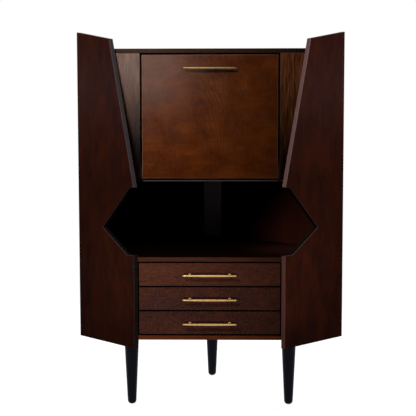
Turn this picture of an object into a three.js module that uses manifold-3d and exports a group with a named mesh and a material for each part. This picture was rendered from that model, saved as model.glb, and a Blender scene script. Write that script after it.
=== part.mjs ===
// A corner bar cabinet of the 1960s kind, in millimetres, +Z up and its front towards -Y.
// Two wing panels stand square to the walls and frame a recessed bar with a fall flap, an open
// niche with a counter, and three drawers. It stands on three turned legs.
import * as THREE from "three";
import { mergeVertices } from "three/addons/utils/BufferGeometryUtils.js";
import Module from "manifold-3d";

const wasm = await Module();
wasm.setup();

// Driving dimensions
const frontWidth = 577; // clear width between the wings at their front edges
const wingLength = 362; // a wing, from its front edge back to the wall
const wingThickness = 21;
const boardThickness = 18; // boards, drawer fronts, fillers and flap
const legHeight = 286; // floor to the underside of the lowest board
const drawerBayHeight = 302;
const nicheHeight = 297;
const barHeight = 506;
const barSetback = 118; // bar front behind the drawer fronts
const wingDrop = 34; // wings below the lowest board
const wingRiseFront = 38; // wings above the top board, at their front
const wingRiseRear = 74;
const drawerCount = 3;

// Clearances
const fit = 0.3; // between pieces that touch
const runningFit = 0.6; // round what turns or slides
const overrun = 2; // how far a cutting tool passes the face that it cuts

// Levels, from the floor up
const bottomTop = legHeight + boardThickness;
const counterUnderside = bottomTop + drawerBayHeight;
const counterTop = counterUnderside + boardThickness;
const barFloorUnderside = counterTop + nicheHeight;
const barFloorTop = barFloorUnderside + boardThickness;
const topUnderside = barFloorTop + barHeight;
const topTop = topUnderside + boardThickness;

// Wood, metal and paint
const wingWood = new THREE.MeshStandardMaterial({ color: 0x3a1d16, roughness: 0.5 });
const caseWood = new THREE.MeshStandardMaterial({ color: 0x4e2c20, roughness: 0.5 });
const flapWood = new THREE.MeshStandardMaterial({ color: 0x5a2f18, roughness: 0.42 });
const fillerWood = new THREE.MeshStandardMaterial({ color: 0x4a2d1c, roughness: 0.5 });
const backWood = new THREE.MeshStandardMaterial({ color: 0x2a1812, roughness: 0.7 });
const drawerWood = new THREE.MeshStandardMaterial({ color: 0xb08c5e, roughness: 0.6 });
const legPaint = new THREE.MeshStandardMaterial({ color: 0x14161a, roughness: 0.4 });
const brass = new THREE.MeshStandardMaterial({ color: 0xb8904a, roughness: 0.3, metalness: 1 });
const steel = new THREE.MeshStandardMaterial({ color: 0x6f7072, roughness: 0.4, metalness: 1 });

const cabinet = new THREE.Group();
const quarterTurn = Math.PI / 2;
const eighthTurn = Math.PI / 4;
const root2 = Math.sqrt(2);
const sides = [
  { name: "left", sign: -1 },
  { name: "right", sign: 1 },
];

function addPiece(name, geometry, material, parent = cabinet) {
  const mesh = new THREE.Mesh(geometry, material);
  mesh.name = name;
  parent.add(mesh);
  return mesh;
}

function block(low, high) {
  const size = high.map((value, axis) => value - low[axis]);
  const centre = high.map((value, axis) => (value + low[axis]) / 2);
  return new THREE.BoxGeometry(...size).translate(...centre);
}

// A flat outline in plan, stood up between two levels
function slab(plan, low, high) {
  const shape = new THREE.Shape(plan.map(([x, y]) => new THREE.Vector2(x, y)));
  const geometry = new THREE.ExtrudeGeometry(shape, { depth: high - low, bevelEnabled: false });
  return geometry.translate(0, 0, low);
}

// A round bar along X
function roundBar(radius, x0, x1, y, z, facets) {
  const geometry = new THREE.CylinderGeometry(radius, radius, Math.abs(x1 - x0), facets);
  return geometry.rotateZ(quarterTurn).translate((x0 + x1) / 2, y, z);
}

function toSolid(geometry) {
  const bare = geometry.index ? geometry.toNonIndexed() : geometry.clone();
  bare.deleteAttribute("normal");
  bare.deleteAttribute("uv");
  const merged = mergeVertices(bare, 1e-4);
  const mesh = new wasm.Mesh({
    numProp: 3,
    vertProperties: new Float32Array(merged.attributes.position.array),
    triVerts: new Uint32Array(merged.index.array),
  });
  return new wasm.Manifold(mesh);
}

function toGeometry(solid) {
  const mesh = solid.getMesh();
  const geometry = new THREE.BufferGeometry();
  geometry.setAttribute("position", new THREE.BufferAttribute(mesh.vertProperties, mesh.numProp));
  geometry.setIndex(new THREE.BufferAttribute(mesh.triVerts, 1));
  const faceted = geometry.toNonIndexed();
  faceted.computeVertexNormals();
  return faceted;
}

function joined(...geometries) {
  return toGeometry(geometries.map(toSolid).reduce((whole, piece) => whole.add(piece)));
}

function cut(geometry, ...tools) {
  return toGeometry(tools.map(toSolid).reduce((whole, tool) => whole.subtract(tool), toSolid(geometry)));
}

// Plan: the wings leave the front edge at 45 degrees, so that they meet the two walls squarely,
// and the back panels lie on the walls and end at a bevelled post in the corner.
const halfFront = frontWidth / 2;
const backThickness = 6;
const postWidth = 83;
const postThickness = 16;
const halfPost = postWidth / 2;
const wallSum = halfFront + wingLength * root2; // x + y on the wall side of a back panel
const innerSum = wallSum - backThickness * root2; // x + y on its room side
const postFront = innerSum - halfPost;
const postBack = postFront + postThickness;
const fitAslant = fit * root2; // a fit measured along x or y from a slanting face

// The plan of a board that fills the case from its front edge back to the post
function boardPlan(front) {
  const frontX = halfFront + front - fitAslant;
  const wingX = (halfFront + innerSum) / 2 - fitAslant;
  const wingY = (innerSum - halfFront) / 2;
  const back = postFront - fit;
  const backX = halfPost - fitAslant + fit;
  return [
    [-frontX, front],
    [frontX, front],
    [wingX, wingY],
    [backX, back],
    [-backX, back],
    [-wingX, wingY],
  ];
}

// Wings: a tall panel with a leaning front edge above, a pointed cut at the niche and a
// straight front edge below. The outline runs in the panel's own plane, from its front edge.
const notchBottomLift = 8; // lower edge of the pointed cut above the counter
const notchTopDrop = 16; // upper edge of the pointed cut below the bar floor
const notchDepth = 199;
const notchPointLift = 100; // the point above the lower edge of the cut
const notchBottomLedge = 45; // level stretch at the lower edge
const notchTopLedge = 24;
const leanDepth = 147; // how far the front edge leans back up to its top
const wingBottom = legHeight - wingDrop;
const notchBottom = counterTop + notchBottomLift;
const notchTop = barFloorUnderside - notchTopDrop;
const wingOutline = [
  [0, wingBottom],
  [wingLength, wingBottom],
  [wingLength, topTop + wingRiseRear],
  [leanDepth, topTop + wingRiseFront],
  [0, notchTop],
  [notchTopLedge, notchTop],
  [notchDepth, notchBottom + notchPointLift],
  [notchBottomLedge, notchBottom],
  [0, notchBottom],
];
for (const { name, sign } of sides) {
  const wing = new THREE.Group();
  wing.position.x = sign * halfFront;
  wing.rotation.z = quarterTurn - sign * eighthTurn;
  const panel = slab(wingOutline, 0, wingThickness).rotateX(quarterTurn);
  panel.translate(0, sign < 0 ? wingThickness : 0, 0);
  addPiece(name + "_wing", panel, wingWood, wing);
  cabinet.add(wing);
}

// Back panels of thin ply, and the post that they are pinned to
const panelEnd = (2 * postBack + halfFront - innerSum) / root2; // along the wall from the wing
const postPlan = [
  [-halfPost + fitAslant, postFront],
  [halfPost - fitAslant, postFront],
  [innerSum - postBack - fitAslant, postBack],
  [postBack - innerSum + fitAslant, postBack],
];
addPiece("corner_post", slab(postPlan, legHeight, topTop), backWood);
for (const { name, sign } of sides) {
  const wall = new THREE.Group();
  wall.position.set(sign * halfFront, 0, 0);
  wall.rotation.z = quarterTurn - sign * eighthTurn;
  const low = [wingLength - backThickness, sign > 0 ? fit : -panelEnd, legHeight];
  const high = [wingLength, sign > 0 ? panelEnd : -fit, topTop];
  addPiece(name + "_back_panel", block(low, high), backWood, wall);
  cabinet.add(wall);
}

// The four boards of the case
const barFront = barSetback;
const barInner = barFront + boardThickness; // rear face of the flap and the fillers
addPiece("bottom_board", slab(boardPlan(0), legHeight, bottomTop), caseWood);
addPiece("counter_board", slab(boardPlan(0), counterUnderside, counterTop), caseWood);
const barFloorPlan = boardPlan(barInner + fit);
addPiece("bar_floor_board", slab(barFloorPlan, barFloorUnderside, barFloorTop), caseWood);
addPiece("top_board", slab(boardPlan(barFront), topUnderside, topTop), caseWood);

// Flap opening, with a filler on each side and a jamb behind each filler
const flapWidth = 557;
const flapSideGap = 7;
const flapTopGap = 7;
const flapLap = 5; // flap and fillers over the front edge of the bar floor
const jambThickness = 18;
const halfFlap = flapWidth / 2;
const jambFace = halfFlap + flapSideGap;
const flapBottom = barFloorTop - flapLap;
const flapTop = topUnderside - flapTopGap;
for (const { name, sign } of sides) {
  const fillerPlan = [
    [sign * jambFace, barFront],
    [sign * (halfFront + barFront - fitAslant), barFront],
    [sign * (halfFront + barInner - fitAslant), barInner],
    [sign * jambFace, barInner],
  ];
  if (sign < 0) fillerPlan.reverse();
  addPiece(name + "_filler", slab(fillerPlan, flapBottom, topUnderside - fit), fillerWood);
}

// Fall flap: its pivots lie midway in the thickness of flap and floor alike, in front of the bar
// floor, so that it opens level with the floor.
const pivotY = barFront + boardThickness / 2;
const pivotZ = barFloorTop - boardThickness / 2;
const flap = new THREE.Group();
cabinet.add(flap);
const flapLow = [-halfFlap, barFront, flapBottom];
addPiece("flap_panel", block(flapLow, [halfFlap, barInner, flapTop]), flapWood, flap);

// Pivot hinges: one leaf on the filler's edge with the pin, and one on the flap's edge
const leafThickness = 2.4;
const leafWidth = 11;
const leafLength = 60; // above the pin
const hingePinRadius = 2.5;
const hingeFacets = 20;
for (const { name, sign } of sides) {
  const leafBlank = (x0, x1) =>
    joined(
      block(
        [Math.min(x0, x1), pivotY - leafWidth / 2, pivotZ],
        [Math.max(x0, x1), pivotY + leafWidth / 2, pivotZ + leafLength],
      ),
      roundBar(leafWidth / 2, x0, x1, pivotY, pivotZ, hingeFacets),
    );
  const fixedX = sign * (jambFace - fit);
  const fixedEnd = fixedX - sign * leafThickness;
  const movingX = sign * (halfFlap + fit);
  const movingEnd = movingX + sign * leafThickness;
  const pin = roundBar(hingePinRadius, fixedX, movingX, pivotY, pivotZ, hingeFacets);
  const bore = roundBar(
    hingePinRadius + runningFit,
    movingX - sign * overrun,
    movingEnd + sign * overrun,
    pivotY,
    pivotZ,
    hingeFacets,
  );
  addPiece(name + "_case_hinge_leaf", joined(leafBlank(fixedX, fixedEnd), pin), brass);
  addPiece(name + "_flap_hinge_leaf", cut(leafBlank(movingX, movingEnd), bore), brass, flap);
}

// Flap stays: a rod turns on a bracket inside the flap and slides through a swivel eye on the
// jamb. Eye and bracket pin lie on one circle round the hinge, so the rod and the eye turn by
// half of what the flap turns. A collar at the rod's end meets the eye when the flap is level.
const stayReach = 12; // bracket pin off the flap's rear face
const stayInset = 18; // rod off the jamb
const stayRoomShare = 0.515; // bracket pin above the hinge, as a share of the bar's depth at the rod
const stayRodRadius = 4;
const stayDiscRadius = 8;
const stayDiscWidth = 9;
const stayPinRadius = 2.5;
const eyeRadius = 11;
const eyeNeckRadius = 7;
const eyePinRadius = 4;
const eyePinLength = 12;
const collarRadius = 7;
const collarLength = 9;
const jambMargin = 22; // jamb behind the eye's pin
const bracketThickness = 3;
const bracketWidth = 20;
const bracketHeight = 40;
const roundFacets = 16;
const stayLead = THREE.MathUtils.degToRad(14); // from bracket pin to eye, seen from the hinge
const stayHeight = stayRoomShare * (innerSum - (jambFace - stayInset) - barInner);
const stayPinY = barInner - pivotY + stayReach;
const stayRadius = Math.hypot(stayPinY, stayHeight);
const stayPinAngle = Math.atan2(stayHeight, stayPinY);
const eyeAngle = stayPinAngle - stayLead;
const eyeY = pivotY + stayRadius * Math.cos(eyeAngle);
const eyeZ = pivotZ + stayRadius * Math.sin(eyeAngle);
const rodAngle = (stayPinAngle + eyeAngle) / 2 - quarterTurn;
const openSpan = 2 * stayRadius * Math.sin((stayLead + quarterTurn) / 2);
const rodLength = openSpan + eyeRadius + fit + collarLength;
const jambBack = eyeY + jambMargin;
for (const { name, sign } of sides) {
  const rodX = sign * (jambFace - stayInset);
  const discInner = rodX - (sign * stayDiscWidth) / 2;
  const discOuter = rodX + (sign * stayDiscWidth) / 2;

  const jambInner = Math.min(sign * jambFace, sign * (jambFace + jambThickness));
  const jambLow = [jambInner, barInner + fit, barFloorTop + fit];
  const jambHigh = [jambLow[0] + jambThickness, jambBack, topUnderside - fit];
  const eyeHoleEnd = jambFace + eyePinLength + fit;
  const eyeHole = roundBar(
    eyePinRadius + fit,
    sign * (jambFace - overrun),
    sign * eyeHoleEnd,
    eyeY,
    eyeZ,
    roundFacets,
  );
  addPiece(name + "_jamb", cut(block(jambLow, jambHigh), eyeHole), caseWood);

  const eye = new THREE.Group();
  eye.position.set(0, eyeY, eyeZ);
  cabinet.add(eye);
  const neckX = rodX + sign * eyeRadius;
  const wallX = sign * (jambFace - fit);
  const rodBore = new THREE.CylinderGeometry(
    stayRodRadius + runningFit,
    stayRodRadius + runningFit,
    2 * (eyeRadius + overrun),
    roundFacets,
  );
  rodBore.rotateX(rodAngle).translate(rodX, 0, 0);
  const eyeBody = joined(
    roundBar(eyeRadius, rodX - sign * eyeRadius, neckX, 0, 0, roundFacets),
    roundBar(eyeNeckRadius, rodX, wallX, 0, 0, roundFacets),
    roundBar(eyePinRadius, rodX, sign * (jambFace + eyePinLength), 0, 0, roundFacets),
  );
  addPiece(name + "_stay_eye", cut(eyeBody, rodBore), brass, eye);

  const rod = new THREE.Group();
  rod.position.set(rodX, pivotY + stayPinY, pivotZ + stayHeight);
  rod.rotation.x = rodAngle;
  flap.add(rod);
  const rodBar = new THREE.CylinderGeometry(stayRodRadius, stayRodRadius, rodLength, roundFacets);
  rodBar.translate(0, rodLength / 2, 0);
  const collar = new THREE.CylinderGeometry(collarRadius, collarRadius, collarLength, roundFacets);
  collar.translate(0, rodLength - collarLength / 2, 0);
  const disc = roundBar(stayDiscRadius, -stayDiscWidth / 2, stayDiscWidth / 2, 0, 0, roundFacets);
  const discBore = roundBar(
    stayPinRadius + runningFit,
    -stayDiscWidth / 2 - overrun,
    stayDiscWidth / 2 + overrun,
    0,
    0,
    roundFacets,
  );
  addPiece(name + "_stay_rod", cut(joined(rodBar, collar, disc), discBore), brass, rod);

  const cheekOuter = discInner - sign * fit;
  const cheekInner = cheekOuter - sign * bracketThickness;
  const pinY = pivotY + stayPinY;
  const pinZ = pivotZ + stayHeight;
  const baseInner = rodX - (sign * bracketWidth) / 2;
  const baseOuter = rodX + (sign * bracketWidth) / 2;
  const base = block(
    [Math.min(baseInner, baseOuter), barInner + fit, pinZ - bracketHeight / 2],
    [Math.max(baseInner, baseOuter), barInner + fit + bracketThickness, pinZ + bracketHeight / 2],
  );
  const cheek = block(
    [Math.min(cheekInner, cheekOuter), barInner + fit, pinZ - stayDiscRadius],
    [Math.max(cheekInner, cheekOuter), pinY + stayDiscRadius, pinZ + stayDiscRadius],
  );
  const bracketPin = roundBar(stayPinRadius, cheekInner, discOuter + sign * fit, pinY, pinZ, roundFacets);
  addPiece(name + "_stay_bracket", joined(base, cheek, bracketPin), brass, flap);
}

// Magnetic catch under the top board, and its plate inside the flap
const catchWidth = 46;
const catchDepth = 15;
const catchHeight = 14;
const strikeWidth = 34;
const strikeHeight = 12;
const strikeThickness = 1.5;
const strikeLow = [-strikeWidth / 2, barInner + fit, flapTop - fit - strikeHeight];
const strikeHigh = [strikeWidth / 2, barInner + fit + strikeThickness, flapTop - fit];
addPiece("strike_plate", block(strikeLow, strikeHigh), steel, flap);
const catchFront = strikeHigh[1] + fit;
const catchLow = [-catchWidth / 2, catchFront, topUnderside - fit - catchHeight];
const catchHigh = [catchWidth / 2, catchFront + catchDepth, topUnderside - fit];
addPiece("magnet_catch", block(catchLow, catchHigh), steel);

// A fixed shelf across the corner, inside the bar
const shelfThickness = 15;
const shelfHeight = 250; // above the bar floor
const shelfSetback = 142; // behind the bar front
const shelfFront = barFront + shelfSetback;
const shelfX = innerSum - shelfFront - fitAslant;
const shelfBackX = halfPost - fitAslant + fit;
const shelfPlan = [
  [-shelfX, shelfFront],
  [shelfX, shelfFront],
  [shelfBackX, postFront - fit],
  [-shelfBackX, postFront - fit],
];
const shelfUnderside = barFloorTop + shelfHeight;
addPiece("bar_shelf", slab(shelfPlan, shelfUnderside, shelfUnderside + shelfThickness), caseWood);

// Handles: a slim brass bar that thins towards its ends, on two round posts
const handleLength = 216;
const handleSpacing = 160; // between the posts
const handleStandoff = 28; // bar's middle line off the front
const handleRadius = 5;
const handleEndRadius = 3.2;
const handleEndRounding = 1.2;
const handlePostRadius = 3.6;
const flapHandleDrop = 55; // below the flap's top edge
const drawerHandleDrop = 1.5; // below the middle of a drawer front
const handleFacets = 16;
const handleProfile = [
  [0, -handleLength / 2],
  [handleEndRadius - handleEndRounding, -handleLength / 2],
  [handleEndRadius, handleEndRounding - handleLength / 2],
  [handleRadius, 0],
  [handleEndRadius, handleLength / 2 - handleEndRounding],
  [handleEndRadius - handleEndRounding, handleLength / 2],
  [0, handleLength / 2],
];
function addHandle(name, front, z, parent) {
  const points = handleProfile.map(([radius, along]) => new THREE.Vector2(radius, along));
  const bar = new THREE.LatheGeometry(points, handleFacets).rotateZ(-quarterTurn);
  bar.translate(0, front - handleStandoff, z);
  const postLength = handleStandoff - fit;
  const posts = sides.map(({ sign }) =>
    new THREE.CylinderGeometry(handlePostRadius, handlePostRadius, postLength, handleFacets).translate(
      (sign * handleSpacing) / 2,
      front - fit - postLength / 2,
      z,
    ),
  );
  addPiece(name, joined(bar, ...posts), brass, parent);
}
addHandle("flap_handle", barFront, flapTop - flapHandleDrop, flap);

// Drawer bay: two partitions that the runners are screwed to
const frontSideGap = 3.5; // drawer front to wing
const frontGap = 6; // above, between and below the drawer fronts
const partitionThickness = 16;
const partitionInset = 2.5; // partition inside the drawer fronts' ends
const partitionSetback = 1;
const halfDrawerFront = halfFront - frontSideGap;
const partitionOuter = halfDrawerFront + partitionInset;
const partitionInner = partitionOuter - partitionThickness;
const partitionFront = boardThickness + partitionSetback;
for (const { name, sign } of sides) {
  const partitionPlan = [
    [sign * partitionInner, partitionFront],
    [sign * partitionOuter, partitionFront],
    [sign * partitionOuter, innerSum - partitionOuter - fitAslant],
    [sign * partitionInner, innerSum - partitionInner - fitAslant],
  ];
  if (sign < 0) partitionPlan.reverse();
  const partition = slab(partitionPlan, bottomTop + fit, counterUnderside - fit);
  addPiece(name + "_partition", partition, caseWood);
}

// Drawers: a box with grooved sides that hangs on hardwood runners
const drawerDepth = 400;
const drawerSideThickness = 12;
const drawerSideGap = 5; // drawer side to partition
const drawerSideDrop = 9; // side below the front's upper edge
const drawerSideLift = 9; // side above the front's lower edge
const runnerHeight = 14;
const runnerDepth = 10;
const runnerGroove = 6;
const runnerLength = 380;
const bottomPanelThickness = 5;
const bottomPanelLift = 8; // bottom panel above the sides' lower edges
const bottomPanelGroove = 5;
const drawerBackThickness = 12;
const frontHeight = (drawerBayHeight - (drawerCount + 1) * frontGap) / drawerCount;
const sideOuter = partitionInner - drawerSideGap;
const sideInner = sideOuter - drawerSideThickness;
const boxFront = boardThickness + fit;
const boxBack = boardThickness + drawerDepth;
for (let index = 0; index < drawerCount; index++) {
  const drawer = new THREE.Group();
  cabinet.add(drawer);
  const number = index + 1;
  const frontTop = counterUnderside - frontGap - index * (frontHeight + frontGap);
  const frontBottom = frontTop - frontHeight;
  const sideTop = frontTop - drawerSideDrop;
  const sideBottom = frontBottom + drawerSideLift;
  const runnerMiddle = (sideTop + sideBottom) / 2;
  const runnerTop = runnerMiddle + runnerHeight / 2;
  const runnerBottom = runnerMiddle - runnerHeight / 2;
  const panelLow = sideBottom + bottomPanelLift;
  const panelHigh = panelLow + bottomPanelThickness;

  const frontLow = [-halfDrawerFront, 0, frontBottom];
  const front = block(frontLow, [halfDrawerFront, boardThickness, frontTop]);
  addPiece("drawer_" + number + "_front", front, caseWood, drawer);
  const handleHeight = (frontTop + frontBottom) / 2 - drawerHandleDrop;
  addHandle("drawer_" + number + "_handle", 0, handleHeight, drawer);

  // The side's cross-section, with the runner's groove outside and the bottom's groove inside
  const grooveFloor = sideOuter - runnerGroove;
  const grooveWall = sideInner + bottomPanelGroove;
  const section = [
    [sideInner, sideBottom],
    [sideOuter, sideBottom],
    [sideOuter, runnerBottom - fit],
    [grooveFloor, runnerBottom - fit],
    [grooveFloor, runnerTop + fit],
    [sideOuter, runnerTop + fit],
    [sideOuter, sideTop],
    [sideInner, sideTop],
    [sideInner, panelHigh + fit],
    [grooveWall, panelHigh + fit],
    [grooveWall, panelLow - fit],
    [sideInner, panelLow - fit],
  ];
  for (const { name, sign } of sides) {
    const outline = section.map(([x, z]) => [sign * x, z]);
    if (sign < 0) outline.reverse();
    const side = slab(outline, -boxBack, -boxFront).rotateX(quarterTurn);
    addPiece("drawer_" + number + "_" + name + "_side", side, drawerWood, drawer);

    const runnerOuter = sign * (partitionInner - fit);
    const runnerInner = sign * (partitionInner - fit - runnerDepth);
    const runner = block(
      [Math.min(runnerOuter, runnerInner), partitionFront, runnerBottom],
      [Math.max(runnerOuter, runnerInner), partitionFront + runnerLength, runnerTop],
    );
    addPiece("drawer_" + number + "_" + name + "_runner", runner, drawerWood);
  }

  const backLow = [fit - sideInner, boxBack - drawerBackThickness, panelHigh + fit];
  const back = block(backLow, [sideInner - fit, boxBack, sideTop]);
  addPiece("drawer_" + number + "_back", back, drawerWood, drawer);
  const halfPanel = grooveWall - fit;
  const panel = block([-halfPanel, boxFront, panelLow], [halfPanel, boxBack, panelHigh]);
  addPiece("drawer_" + number + "_bottom", panel, drawerWood, drawer);
}

// Legs: three turned and tapered legs, each screwed to a round plate under the lowest board
const legTopRadius = 30.5;
const legFootRadius = 17.4;
const legTipRadius = 12;
const legTipHeight = 9;
const legPlateRadius = 27;
const legPlateThickness = 4;
const legStudRadius = 4;
const legStudLength = 24;
const frontLegSetback = 85;
const frontLegInset = 49; // front leg's middle line to the wing's inner face, across the front
const rearLegSetback = 569;
const legFacets = 32;
const legTop = legHeight - fit - legPlateThickness - fit;
const studEnd = legTop - legStudLength;
const legProfile = [
  [0, 0],
  [legTipRadius, 0],
  [legFootRadius, legTipHeight],
  [legTopRadius, legTop],
  [legStudRadius + fit, legTop],
  [legStudRadius + fit, studEnd - fit],
  [0, studEnd - fit],
];
const plateProfile = [
  [0, studEnd],
  [legStudRadius, studEnd],
  [legStudRadius, legTop + fit],
  [legPlateRadius, legTop + fit],
  [legPlateRadius, legHeight - fit],
  [0, legHeight - fit],
];
function turned(profile, facets) {
  const points = profile.map(([radius, height]) => new THREE.Vector2(radius, height));
  return new THREE.LatheGeometry(points, facets).rotateX(quarterTurn);
}
const frontLegX = halfFront + frontLegSetback - frontLegInset;
const legPlaces = [
  ["front_left", -frontLegX, frontLegSetback],
  ["front_right", frontLegX, frontLegSetback],
  ["rear", 0, rearLegSetback],
];
for (const [name, x, y] of legPlaces) {
  const leg = new THREE.Group();
  leg.position.set(x, y, 0);
  cabinet.add(leg);
  addPiece(name + "_leg", turned(legProfile, legFacets), legPaint, leg);
  addPiece(name + "_leg_plate", turned(plateProfile, legFacets), steel, leg);
}

// The origin is on the floor, under the middle of the whole
const handleFace = -handleStandoff - handleRadius;
const rearFace = postBack + backThickness / root2;
cabinet.position.y = -(handleFace + rearFace) / 2;

export default cabinet;
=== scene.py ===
# Corner bar cabinet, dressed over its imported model: wings, case, fall flap, drawers, legs.
# Metres, +Z up, the front towards -Y.
import math

import bpy
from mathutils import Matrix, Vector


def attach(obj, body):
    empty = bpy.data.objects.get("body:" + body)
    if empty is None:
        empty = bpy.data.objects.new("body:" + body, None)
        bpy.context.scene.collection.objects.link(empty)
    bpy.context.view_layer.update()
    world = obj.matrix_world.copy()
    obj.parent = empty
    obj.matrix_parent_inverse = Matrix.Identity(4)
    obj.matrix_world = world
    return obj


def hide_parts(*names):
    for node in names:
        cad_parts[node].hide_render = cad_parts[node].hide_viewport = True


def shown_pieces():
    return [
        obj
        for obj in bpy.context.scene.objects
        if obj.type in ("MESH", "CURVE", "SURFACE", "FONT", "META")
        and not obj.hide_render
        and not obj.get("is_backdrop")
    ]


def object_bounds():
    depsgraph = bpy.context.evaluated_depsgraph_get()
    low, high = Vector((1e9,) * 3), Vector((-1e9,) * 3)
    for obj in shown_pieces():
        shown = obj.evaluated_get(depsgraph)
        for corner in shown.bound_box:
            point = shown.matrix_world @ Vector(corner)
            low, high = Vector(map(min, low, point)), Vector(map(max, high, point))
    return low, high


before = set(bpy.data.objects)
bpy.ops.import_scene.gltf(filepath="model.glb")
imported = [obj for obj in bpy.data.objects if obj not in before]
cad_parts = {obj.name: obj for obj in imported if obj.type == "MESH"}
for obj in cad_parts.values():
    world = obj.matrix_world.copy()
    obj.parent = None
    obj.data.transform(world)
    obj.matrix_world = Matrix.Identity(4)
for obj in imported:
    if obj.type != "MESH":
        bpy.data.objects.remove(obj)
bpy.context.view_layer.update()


# Camera
# It stands about 4.5 m in front of the drawers at chest height and looks slightly down. Its
# place, turn and lens come from a fit to the edges in the photo.
bpy.ops.object.select_all(action="DESELECT")
bpy.ops.object.camera_add(
    location=(0.0875, -4.7192, 1.2312),
    rotation=(math.radians(90 - 5.357), math.radians(0.089), math.radians(1.222)),
)
camera = bpy.context.object
camera.name = "front_camera"
camera.data.lens = 94.4
camera.data.sensor_width = 36
camera.data.clip_end = 60
bpy.context.scene.camera = camera


# Wings
# Two tall panels of veneered board, stained dark, with lipping glued round their edges.
# They are cut to a lean above, a pointed opening at the niche, and screwed to the boards.
DRAWER_FACE_Y = -0.368851  # plane of the drawer fronts, from the middle of the plan
HALF_FRONT = 0.2885  # middle of the front to a wing's inner face
EIGHTH_TURN = math.pi / 4
SIDES = (("left", -1), ("right", 1))


def name_as(piece, name):
    piece.name = name
    piece.data.name = name
    return piece


def select_only(piece):
    bpy.ops.object.select_all(action="DESELECT")
    piece.select_set(True)
    bpy.context.view_layer.objects.active = piece


def block(name, corner, opposite):
    """A squared blank between two opposite corners, with its place in its mesh."""
    bpy.ops.object.select_all(action="DESELECT")
    middle = [(a + b) / 2 for a, b in zip(corner, opposite)]
    bpy.ops.mesh.primitive_cube_add(size=1, location=middle)
    piece = name_as(bpy.context.object, name)
    piece.scale = [abs(b - a) for a, b in zip(corner, opposite)]
    bpy.ops.object.transform_apply(location=True, rotation=True, scale=True)
    return piece


def saw(piece, point, waste_side):
    """Cuts off what lies beyond a plane, on its waste side, and closes the cut."""
    bpy.ops.object.mode_set(mode="EDIT")
    bpy.ops.mesh.select_all(action="SELECT")
    bpy.ops.mesh.bisect(plane_co=point, plane_no=waste_side, use_fill=True, clear_outer=True)
    bpy.ops.object.mode_set(mode="OBJECT")


def saw_line(piece, start, end, waste):
    """Saws across a panel's face. start and end are (along the wing, height), and the waste
    lies to the left (1) or to the right (-1) of the way from start to end."""
    along, up = end[0] - start[0], end[1] - start[1]
    saw(piece, (start[0], 0, start[1]), (-waste * up, 0, waste * along))


def cut_out(piece, tool):
    """Takes a tool's shape out of a piece."""
    bpy.context.view_layer.objects.active = piece
    cutting = piece.modifiers.new("cut", "BOOLEAN")
    cutting.object = tool
    cutting.solver = "EXACT"
    bpy.ops.object.modifier_apply(modifier="cut")
    bpy.data.objects.remove(tool)


def ease_edges(piece, radius, steps=3, arris=-1):
    """Rounds the sharp edges over, and keeps the broad faces flat in the shading. arris is the
    slot of the finish that the rounding gets, or -1 for that of the faces beside it."""
    bpy.context.view_layer.objects.active = piece
    rounding = piece.modifiers.new("rounding", "BEVEL")
    rounding.material = arris
    rounding.width = radius
    rounding.segments = steps
    rounding.limit_method = "ANGLE"
    rounding.angle_limit = math.radians(25)
    rounding.use_clamp_overlap = True
    bpy.ops.object.modifier_apply(modifier="rounding")
    bpy.ops.object.shade_smooth_by_angle(angle=math.radians(50))
    flat = piece.modifiers.new("flat", "WEIGHTED_NORMAL")
    flat.keep_sharp = True
    bpy.ops.object.modifier_apply(modifier="flat")


def settle(piece, location, rotation=(0, 0, 0)):
    """Turns and moves a finished blank, and leaves that in its mesh."""
    piece.rotation_euler = rotation
    piece.location = location
    select_only(piece)
    bpy.ops.object.transform_apply(location=True, rotation=True, scale=True)
    return piece


def stand_on_wall(piece, sign):
    """Turns a piece drawn along a wing, from its front edge, to its place on that side."""
    wall_turn = (0, 0, math.pi / 2 - sign * EIGHTH_TURN)
    settle(piece, (sign * HALF_FRONT, DRAWER_FACE_Y, 0), wall_turn)


def stain(code):
    """A colour written as six hex digits, as the linear values that a shader takes."""
    parts = [int(code[i : i + 2], 16) / 255 for i in (0, 2, 4)]
    return [p / 12.92 if p <= 0.04045 else ((p + 0.055) / 1.055) ** 2.4 for p in parts] + [1]


def wire(tree, *pairs):
    for output, socket in pairs:
        tree.links.new(output, socket)


def add_node(tree, kind, sockets, **settings):
    """A shader node whose sockets are set to a constant or linked to another node's output."""
    node = tree.nodes.new(kind)
    for label, value in settings.items():
        setattr(node, label, value)
    for label, value in sockets.items():
        if isinstance(value, bpy.types.NodeSocket):
            tree.links.new(value, node.inputs[label])
        elif value is not None:
            node.inputs[label].default_value = value
    return node


def math_node(tree, operation, first, second=None):
    node = add_node(tree, "ShaderNodeMath", {0: first, 1: second}, operation=operation)
    return node.outputs[0]


def product(tree, first, second):
    return math_node(tree, "MULTIPLY", first, second)


def length(tree, vector):
    node = add_node(tree, "ShaderNodeVectorMath", {0: vector}, operation="LENGTH")
    return node.outputs["Value"]


def span(tree, value, from_low, from_high, to_low=0.0, to_high=1.0):
    """A value brought from one range to another, and held inside it."""
    sockets = {"Value": value, "From Min": from_low, "From Max": from_high}
    sockets |= {"To Min": to_low, "To Max": to_high}
    return add_node(tree, "ShaderNodeMapRange", sockets).outputs["Result"]


def blend_colours(tree, amount, first, second):
    # sockets 0, 6 and 7 of the mix node are its factor and its two colours
    sockets = {0: amount, 6: first, 7: second}
    return add_node(tree, "ShaderNodeMix", sockets, data_type="RGBA").outputs[2]


def noise(tree, vector, scale, detail, roughness=0.5, distortion=0.0):
    sockets = {"Vector": vector, "Scale": scale, "Detail": detail}
    sockets |= {"Roughness": roughness, "Distortion": distortion}
    return add_node(tree, "ShaderNodeTexNoise", sockets).outputs["Fac"]


def mapped(tree, vector, scale, location=(0, 0, 0), kind="POINT"):
    sockets = {"Vector": vector, "Location": location, "Scale": scale}
    return add_node(tree, "ShaderNodeMapping", sockets, vector_type=kind).outputs["Vector"]


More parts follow.
